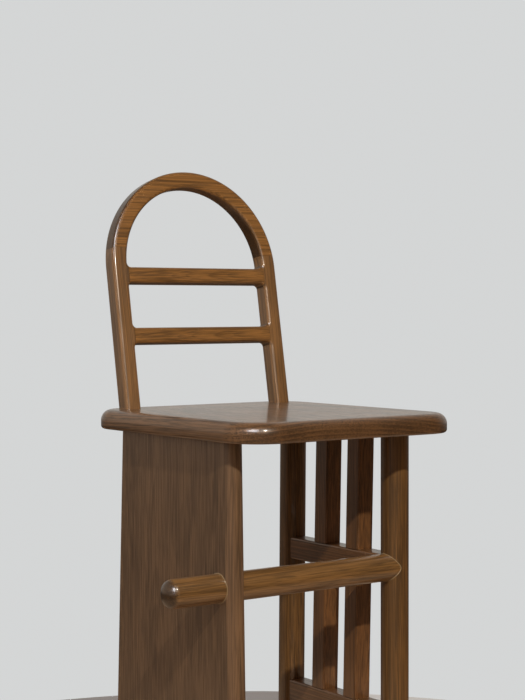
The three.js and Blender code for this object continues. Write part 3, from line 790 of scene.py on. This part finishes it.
for name, level in (("upper", upper_slat), ("lower", lower_slat)):
    half = inner_half - glue_line
    zone = slat_height / 2 + slat_corner
    slat = part_of(
        back, f"slat_{name}", (-half, -saw_overrun, level - zone), (half, saw_depth, level + zone)
    )
    lean(slat)
    polish(slat)
    pith = hoop_foot + Vector((0, (level - upper_slat) * math.tan(hoop_lean) + slat_pith_depth, level))
    finish = lacquered_wood(
        f"slat {name} wood", back_tint, pith, slat_grain, ring_width=0.0014, rings=0.5, waviness=0.004
    )
    fit(slat, finish, f"back_slat_{name}")

right_joint = spring + joint_rise["right"] + glue_line / 2
left_joint = spring + joint_rise["left"] + glue_line / 2
arch = part_of(back, "arch", (-saw_side, -saw_overrun, right_joint), (saw_side, saw_depth, saw_top))
left_low = (-saw_side - saw_overrun, -2 * saw_overrun, spring)
cut(arch, block("left joint", left_low, (0, saw_depth + saw_overrun, left_joint)))
lean(arch)
polish(arch)
arch_finish = lacquered_wood(
    "arch wood", back_tint, hoop_foot + Vector(arch_pith), arch_grain, end_start=0.3, rings=0.7
)
fit(arch, arch_finish, "back_arch")
bpy.data.objects.remove(back, do_unlink=True)


# The board side is one wide plank, its grain upright. It widens toward the floor, its upright edges are
# rounded across the whole thickness, and it is bored right through for the upper bar. Lacquer that ran
# into the joint with the bar has set there as a fine bead, outside only; its pale colour is a painted
# highlight.
board_edge_rise = 0.0106
board_front_rake = math.radians(1.2)
board_rear_rake = math.radians(2.5)
board_edge_steps = 20
board_end_slack = 0.001
bore_gap = 0.0003
bore_sides = 96
bead_radius = 0.0008
bead_steps = 3
eased = 0.001
board_eased_steps = 2
board_tint = (0.128, 0.076, 0.042)
board_grain = (0.02, 0, 1)
board_pith_out = 0.09
board_pith_back = 0.02
board_pith_level = 0.3

board_low, board_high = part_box("side_panel")
board_middle = (board_low.x + board_high.x) / 2
board_half = (board_high.x - board_low.x) / 2
board_rise = board_high.z - board_low.z
edge_radius = (board_half ** 2 + board_edge_rise ** 2) / (2 * board_edge_rise)
edge_sweep = 2 * math.asin(board_half / edge_radius)
bar_low, bar_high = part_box("through_bar")
bar_level = (bar_low.z + bar_high.z) / 2
bar_y = (bar_low.y + bar_high.y) / 2
bar_radius = (bar_high.z - bar_low.z) / 2

flat_front = board_low.y + board_edge_rise
flat_rear = board_high.y - board_edge_rise
board = block("side_board", (board_low.x, flat_front, board_low.z), (board_high.x, flat_rear, board_high.z))
edit(board)
pick(board, "VERT", lambda vert: near(vert.co.z, board_high.z) and near(vert.co.y, flat_front))
bpy.ops.transform.translate(value=(0, board_rise * math.tan(board_front_rake), 0))
pick(board, "VERT", lambda vert: near(vert.co.z, board_high.z) and near(vert.co.y, flat_rear))
bpy.ops.transform.translate(value=(0, -board_rise * math.tan(board_rear_rake), 0))
pick(board, "FACE", lambda face: abs(face.normal.x) < square_on)
bpy.ops.mesh.delete(type="ONLY_FACE")
for facing, line, rake in ((-1, flat_front, board_front_rake), (1, flat_rear, -board_rear_rake)):
    pick(board, "EDGE", lambda edge: (
        near(edge.verts[0].co.x, board_low.x)
        and near(edge.verts[1].co.x, board_low.x)
        and abs(edge.verts[0].co.z - edge.verts[1].co.z) > board_rise / 2
        and facing * middle(edge).y > facing * (board_low.y + board_high.y) / 2
    ))
    centre = (board_middle, line - facing * (edge_radius - board_edge_rise), board_low.z)
    axis = (0, math.sin(rake), math.cos(rake))
    bpy.ops.mesh.spin(steps=board_edge_steps, angle=facing * edge_sweep, center=centre, axis=axis)
bpy.ops.mesh.select_all(action="SELECT")
bpy.ops.mesh.remove_doubles(threshold=sliver)
for level in (board_low.z, board_high.z):
    pick(board, "EDGE", lambda edge: edge.is_boundary and near(middle(edge).z, level, board_end_slack))
    bpy.ops.mesh.edge_face_add()
bpy.ops.mesh.select_all(action="SELECT")
bpy.ops.mesh.normals_make_consistent(inside=False)
pick(board, "EDGE", lambda edge: all(near(vert.co.z, board_low.z, board_end_slack) for vert in edge.verts))
bpy.ops.mesh.bevel(offset=eased, segments=board_eased_steps, affect="EDGES")
bpy.ops.object.mode_set(mode="OBJECT")
bore_radius = bar_radius + bore_gap
bore_start = (board_low.x - saw_overrun, bar_y, bar_level)
bore_end = (board_high.x + saw_overrun, bar_y, bar_level)
cut(board, rod("bit", bore_radius, bore_start, bore_end, bore_sides))


def run_bead(piece, on_rim):
    """Runs a thin bead of set lacquer along the sharp edges on a rim, and marks it for its painted pale
    highlight
    """
    edit(piece)
    pick(piece, "EDGE", lambda edge: (
        len(edge.link_faces) == 2
        and edge.calc_face_angle() > smooth_angle
        and all(on_rim(vert.co) for vert in edge.verts)
    ))
    known = {found.name for found in bpy.data.objects}
    bpy.ops.mesh.duplicate()
    bpy.ops.mesh.separate(type="SELECTED")
    line = next(found for found in bpy.data.objects if found.name not in known)
    take(line)
    bpy.ops.object.convert(target="CURVE")
    line.data.bevel_depth = bead_radius
    line.data.bevel_resolution = bead_steps
    bpy.ops.object.convert(target="MESH")
    mark = line.data.attributes.new("bead", "FLOAT", "POINT")
    mark.data.foreach_set("value", [1] * len(line.data.vertices))
    piece.select_set(True)
    bpy.context.view_layer.objects.active = piece
    bpy.ops.object.join()


run_bead(board, lambda place: (
    place.x < board_middle and near(math.dist(place.yz, (bar_y, bar_level)), bore_radius, sliver)
))
polish(board)
board_pith = (board_middle + board_pith_out, board_pith_back, board_pith_level)
board_finish = lacquered_wood(
    "board wood", board_tint, board_pith, board_grain, ring_width=0.0016, rings=0.45, pores=0.3
)
fit(board, board_finish, "side_panel")


# The legs of the lattice side are turned rods, shouldered under the seat with a round tenon in it. The
# rear one rakes back a little toward its foot. Each stands on a glide.
leg_tenon_radius = 0.012
leg_eased_steps = 3
shoulder_gap = 0.0001
rear_leg_rake = math.radians(0.8)
leg_tint = (0.112, 0.056, 0.018)
leg_grain = (0, 0.02, 1)
leg_pith_back = 0.04
leg_pith_out = {"front": 0.05, "rear": -0.07}
leg_low, leg_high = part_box("leg_front")
leg_x = (leg_low.x + leg_high.x) / 2
leg_radius = (leg_high.x - leg_low.x) / 2
leg_front_y = (leg_low.y + leg_high.y) / 2
leg_shoulder = seat_underside - shoulder_gap
leg_rear_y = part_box("leg_rear")[1].y - leg_radius


def turned_leg(name, y, rake):
    """A leg with its tenon, its foot at a place and its top drawn forward by the rake"""
    leg = rod(name, leg_radius, (leg_x, y, leg_low.z), (leg_x, y, leg_shoulder))
    edit(leg)
    pick(leg, "FACE", lambda face: face.normal.z > square_on)
    bpy.ops.mesh.inset(thickness=leg_radius - leg_tenon_radius)
    bpy.ops.mesh.extrude_region_move(TRANSFORM_OT_translate={"value": (0, 0, leg_high.z - leg_shoulder)})
    pick(leg, "EDGE", lambda edge: all(near(vert.co.z, leg_low.z) for vert in edge.verts))
    bpy.ops.mesh.bevel(offset=eased, segments=leg_eased_steps, affect="EDGES")
    pick(leg, "VERT", lambda vert: vert.co.z > seat_underside / 2)
    bpy.ops.transform.translate(value=(0, -(leg_shoulder - leg_low.z) * math.tan(rake), 0))
    polish(leg)
    return leg


for name, y, rake in (("front", leg_front_y, 0), ("rear", leg_rear_y, rear_leg_rake)):
    leg = turned_leg(f"round_leg_{name}", y, rake)
    pith = (leg_x + leg_pith_out[name], y + leg_pith_back, 0)
    fit(leg, lacquered_wood(f"leg {name} wood", leg_tint, pith, leg_grain), f"leg_{name}")


# Two square slats stand between the legs. Their inner half is cut away where each rail crosses, so rails
# and slats lie flush on both faces. Here they stop at the seat, and only the CAD solids have their tenons.
lattice_width = 0.030
lattice_depth = 0.031
lattice_rake = math.radians(1.65)
lattice_arris = 0.003
lattice_arris_steps = 3
rail_height = 0.035
fit_line = 0.00015
notch_reach = 0.03
lattice_tint = (0.125, 0.056, 0.020)
lattice_grain = (0, 0.03, 1)
lattice_pith_out = 0.03
lattice_pith_back = {"front": 0.05, "rear": -0.05}
lattice_pith_level = 0.35
rail_levels = {}
for name in ("upper", "lower"):
    low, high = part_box(f"lattice_rail_{name}")
    rail_levels[name] = (low.z + high.z) / 2


def slat_middle(low, high, height):
    """Where the middle of a raked lattice slat is at a height"""
    foot = high.y - lattice_depth / 2
    return foot - (height - low.z) * math.tan(lattice_rake)


def lattice_stick(name, low, high, top):
    """A raked square stick with its arrises rounded, from the foot of a lattice slat up to a level"""
    wide = lattice_width / 2
    deep = lattice_depth / 2
    foot_y = slat_middle(low, high, low.z)
    stick = block(name, (leg_x - wide, foot_y - deep, low.z), (leg_x + wide, foot_y + deep, top))
    edit(stick)
    pick(stick, "VERT", lambda vert: near(vert.co.z, top))
    bpy.ops.transform.translate(value=(0, -(top - low.z) * math.tan(lattice_rake), 0))
    pick(stick, "EDGE", lambda edge: abs(edge.verts[0].co.z - edge.verts[1].co.z) > rail_height)
    bpy.ops.mesh.bevel(offset=lattice_arris, segments=lattice_arris_steps, affect="EDGES")
    bpy.ops.object.mode_set(mode="OBJECT")
    return stick


for name, pith_back in lattice_pith_back.items():
    low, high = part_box(f"lattice_slat_{name}")
    slat = lattice_stick(f"square_slat_{name}", low, high, leg_shoulder)
    for level in rail_levels.values():
        half = rail_height / 2 + fit_line
        notch_low = (leg_x - notch_reach, low.y - notch_reach, level - half)
        cut(slat, block("notch", notch_low, (leg_x + fit_line / 2, high.y + notch_reach, level + half)))
    polish(slat)
    pith = (leg_x + lattice_pith_out, slat_middle(low, high, lattice_pith_level) + pith_back, 0)
    finish = lacquered_wood(f"square slat {name} wood", lattice_tint, pith, lattice_grain)
    fit(slat, finish, f"lattice_slat_{name}")


# Two rails cross the slats. Their ends are scribed to the round legs and to the bars, and their outer
# half is cut away for each slat.
scribe_reach = 0.05
scribe_sides = 96
scribe_radius = leg_radius + fit_line
rail_grain = (0, 1, 0)
rail_pith_out = 0.05
rail_pith_drop = 0.06


def leg_scribe(y, level):
    """A round cutter a little thicker than a leg, standing where the leg stands and crossing a level"""
    low = (leg_x, y, level - scribe_reach)
    high = (leg_x, y, level + scribe_reach)
    return rod("scribe", scribe_radius, low, high, scribe_sides)


for name, level in rail_levels.items():
    half = rail_height / 2
    rail = block(
        f"rail_{name}",
        (leg_x - lattice_width / 2, leg_front_y, level - half),
        (leg_x + lattice_width / 2, leg_rear_y, level + half),
    )
    edit(rail)
    pick(rail, "EDGE", lambda edge: abs(edge.verts[0].co.y - edge.verts[1].co.y) > rail_height)
    bpy.ops.mesh.bevel(offset=lattice_arris, segments=lattice_arris_steps, affect="EDGES")
    bpy.ops.object.mode_set(mode="OBJECT")
    leg_drift = (level - leg_low.z) * math.tan(rear_leg_rake)
    cut(rail, leg_scribe(leg_front_y, level))
    cut(rail, leg_scribe(leg_rear_y - leg_drift, level))
    bar_start = (leg_x - scribe_reach, bar_y, level)
    cut(rail, rod("scribe", bar_radius + fit_line, bar_start, (leg_x, bar_y, level), scribe_sides))
    for slat_name in ("front", "rear"):
        low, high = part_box(f"lattice_slat_{slat_name}")
        y = slat_middle(low, high, level)
        deep = lattice_depth / 2 + fit_line
        clear = rail_height / 2 + saw_overrun
        slant = clear * math.tan(lattice_rake)
        notch_low = (leg_x - fit_line / 2, y - deep, level - clear)
        notch = block("notch", notch_low, (leg_x + notch_reach, y + deep, level + clear))
        edit(notch)
        pick(notch, "VERT", lambda vert: vert.co.z > level)
        bpy.ops.transform.translate(value=(0, -slant, 0))
        pick(notch, "VERT", lambda vert: vert.co.z < level)
        bpy.ops.transform.translate(value=(0, slant, 0))
        bpy.ops.object.mode_set(mode="OBJECT")
        cut(rail, notch)
    polish(rail)
    pith = (leg_x + rail_pith_out, 0, level - rail_pith_drop)
    fit(rail, lacquered_wood(f"rail {name} wood", lattice_tint, pith, rail_grain), f"lattice_rail_{name}")


# The round bars join the two sides. The upper one passes through the board and ends in a domed peg, the
# lower one is tenoned into the board, and both are coped onto the front leg with a bead of lacquer round
# the joint. The beads are coloured pale as a painted highlight.
dome_length = 0.015
dome_steps = 16
footrest_tenon_radius = 0.012
bar_sides = 72
bar_tint = (0.146, 0.077, 0.026)
bar_grain = (1, 0.02, 0)
bar_pith_back = 0.05
bar_pith_drop = 0.03
footrest_grain = (1, 0, 0)
footrest_pith_back = -0.04
footrest_pith_drop = 0.05


def turn_about_bar(bar, level):
    """Turns the profile that was drawn into a round bar at its place"""
    bpy.ops.mesh.select_all(action="SELECT")
    bpy.ops.mesh.spin(steps=bar_sides, angle=2 * math.pi, center=(0, 0, level), axis=(1, 0, 0))
    bpy.ops.mesh.select_all(action="SELECT")
    bpy.ops.mesh.remove_doubles(threshold=hair)
    bpy.ops.mesh.select_all(action="SELECT")
    bpy.ops.mesh.normals_make_consistent(inside=False)
    bpy.ops.transform.translate(value=(0, bar_y, 0))
    bpy.ops.object.mode_set(mode="OBJECT")
    cut(bar, leg_scribe(leg_front_y, level))
    run_bead(bar, lambda place: near(math.dist(place.xy, (leg_x, leg_front_y)), scribe_radius, sliver))
    polish(bar)


bar = point_at(bar_low.x + dome_length - bar_radius, bar_level)
bar.name = "round_bar"
draw_arc(bar_low.x + dome_length, bar_level, -90, dome_steps)
bpy.ops.mesh.select_all(action="SELECT")
bpy.ops.transform.resize(
    value=(dome_length / bar_radius, 1, 1), center_override=(bar_low.x + dome_length, 0, bar_level)
)
pick(bar, "VERT", lambda vert: near(vert.co.z, bar_level + bar_radius))
draw_to(leg_x - bar_low.x - dome_length, 0)
draw_to(0, -bar_radius)
turn_about_bar(bar, bar_level)
bar_pith = (0, bar_y + bar_pith_back, bar_level - bar_pith_drop)
fit(bar, lacquered_wood("bar wood", bar_tint, bar_pith, bar_grain, end_start=0.25), "through_bar")

footrest_level = rail_levels["lower"]
footrest_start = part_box("footrest_bar")[0].x
footrest_shoulder = board_high.x + fit_line
footrest = point_at(footrest_start, footrest_level)
footrest.name = "round_footrest"
draw_to(0, footrest_tenon_radius)
draw_to(footrest_shoulder - footrest_start, 0)
draw_to(0, bar_radius - footrest_tenon_radius)
draw_to(leg_x - footrest_shoulder, 0)
draw_to(0, -bar_radius)
turn_about_bar(footrest, footrest_level)
footrest_pith = (0, bar_y + footrest_pith_back, footrest_level - footrest_pith_drop)
fit(footrest, lacquered_wood("footrest wood", bar_tint, footrest_pith, footrest_grain), "footrest_bar")


# What is hidden in the joints: beech dowels, in the arch and in the board's top, and steel nails through
# dark nylon glides. Only the glides' edges show, under the feet.
plain_tone_swing = 0.2
plain_gloss_swing = 0.08
plain_detail = 4
plain_relief = 0.5


def plain_finish(name, colour, roughness, metallic, grain_scale, grain_depth):
    """A fine-grained finish whose colour and gloss vary a little"""
    finish = bpy.data.materials.new(name)
    finish.use_nodes = True
    tree = finish.node_tree
    shader = tree.nodes["Principled BSDF"]
    shader.inputs["Metallic"].default_value = metallic
    place = node(tree, "ShaderNodeTexCoord", (-900, 0))
    grain = node(tree, "ShaderNodeTexNoise", (-700, 0))
    grain.inputs["Scale"].default_value = grain_scale
    grain.inputs["Detail"].default_value = plain_detail
    tint = node(tree, "ShaderNodeMix", (-300, 200), data_type="RGBA")
    tint.inputs["A"].default_value = (*((1 - plain_tone_swing) * part for part in colour), 1)
    tint.inputs["B"].default_value = (*((1 + plain_tone_swing) * part for part in colour), 1)
    gloss = node(tree, "ShaderNodeMapRange", (-300, 0))
    gloss.inputs["To Min"].default_value = roughness - plain_gloss_swing
    gloss.inputs["To Max"].default_value = roughness + plain_gloss_swing
    relief = node(tree, "ShaderNodeBump", (-300, -300))
    relief.inputs["Distance"].default_value = grain_depth
    relief.inputs["Strength"].default_value = plain_relief
    join(
        tree,
        (place.outputs["Object"], grain.inputs["Vector"]),
        (grain.outputs["Fac"], tint.inputs["Factor"]),
        (grain.outputs["Fac"], gloss.inputs["Value"]),
        (grain.outputs["Fac"], relief.inputs["Height"]),
        (tint.outputs["Result"], shader.inputs["Base Color"]),
        (gloss.outputs["Result"], shader.inputs["Roughness"]),
        (relief.outputs["Normal"], shader.inputs["Normal"]),
    )
    return finish


beech = plain_finish(
    "bare beech", (0.48, 0.30, 0.16), roughness=0.6, metallic=0, grain_scale=400, grain_depth=0.0001
)
nylon = plain_finish(
    "dark nylon", (0.022, 0.016, 0.012), roughness=0.55, metallic=0, grain_scale=900, grain_depth=0.00005
)
steel = plain_finish(
    "nail steel", (0.55, 0.56, 0.58), roughness=0.35, metallic=1, grain_scale=1200, grain_depth=0.00002
)


def dress(finish, slot_name, *names):
    """Gives pieces that are carried over from the CAD a finish"""
    for name in names:
        piece = frame["nodes"][name]
        piece.data.materials.clear()
        piece.data.materials.append(finish)


feet = ("leg_front", "leg_rear", "panel_front", "panel_rear")
dress(beech, "dowel", "arch_dowel_left", "arch_dowel_right")
dress(beech, "dowel", *(f"panel_dowel_{name}" for name in ("front", "middle", "rear")))
dress(nylon, "glide", *(f"glide_{foot}" for foot in feet))
dress(steel, "nail", *(f"glide_nail_{foot}" for foot in feet))
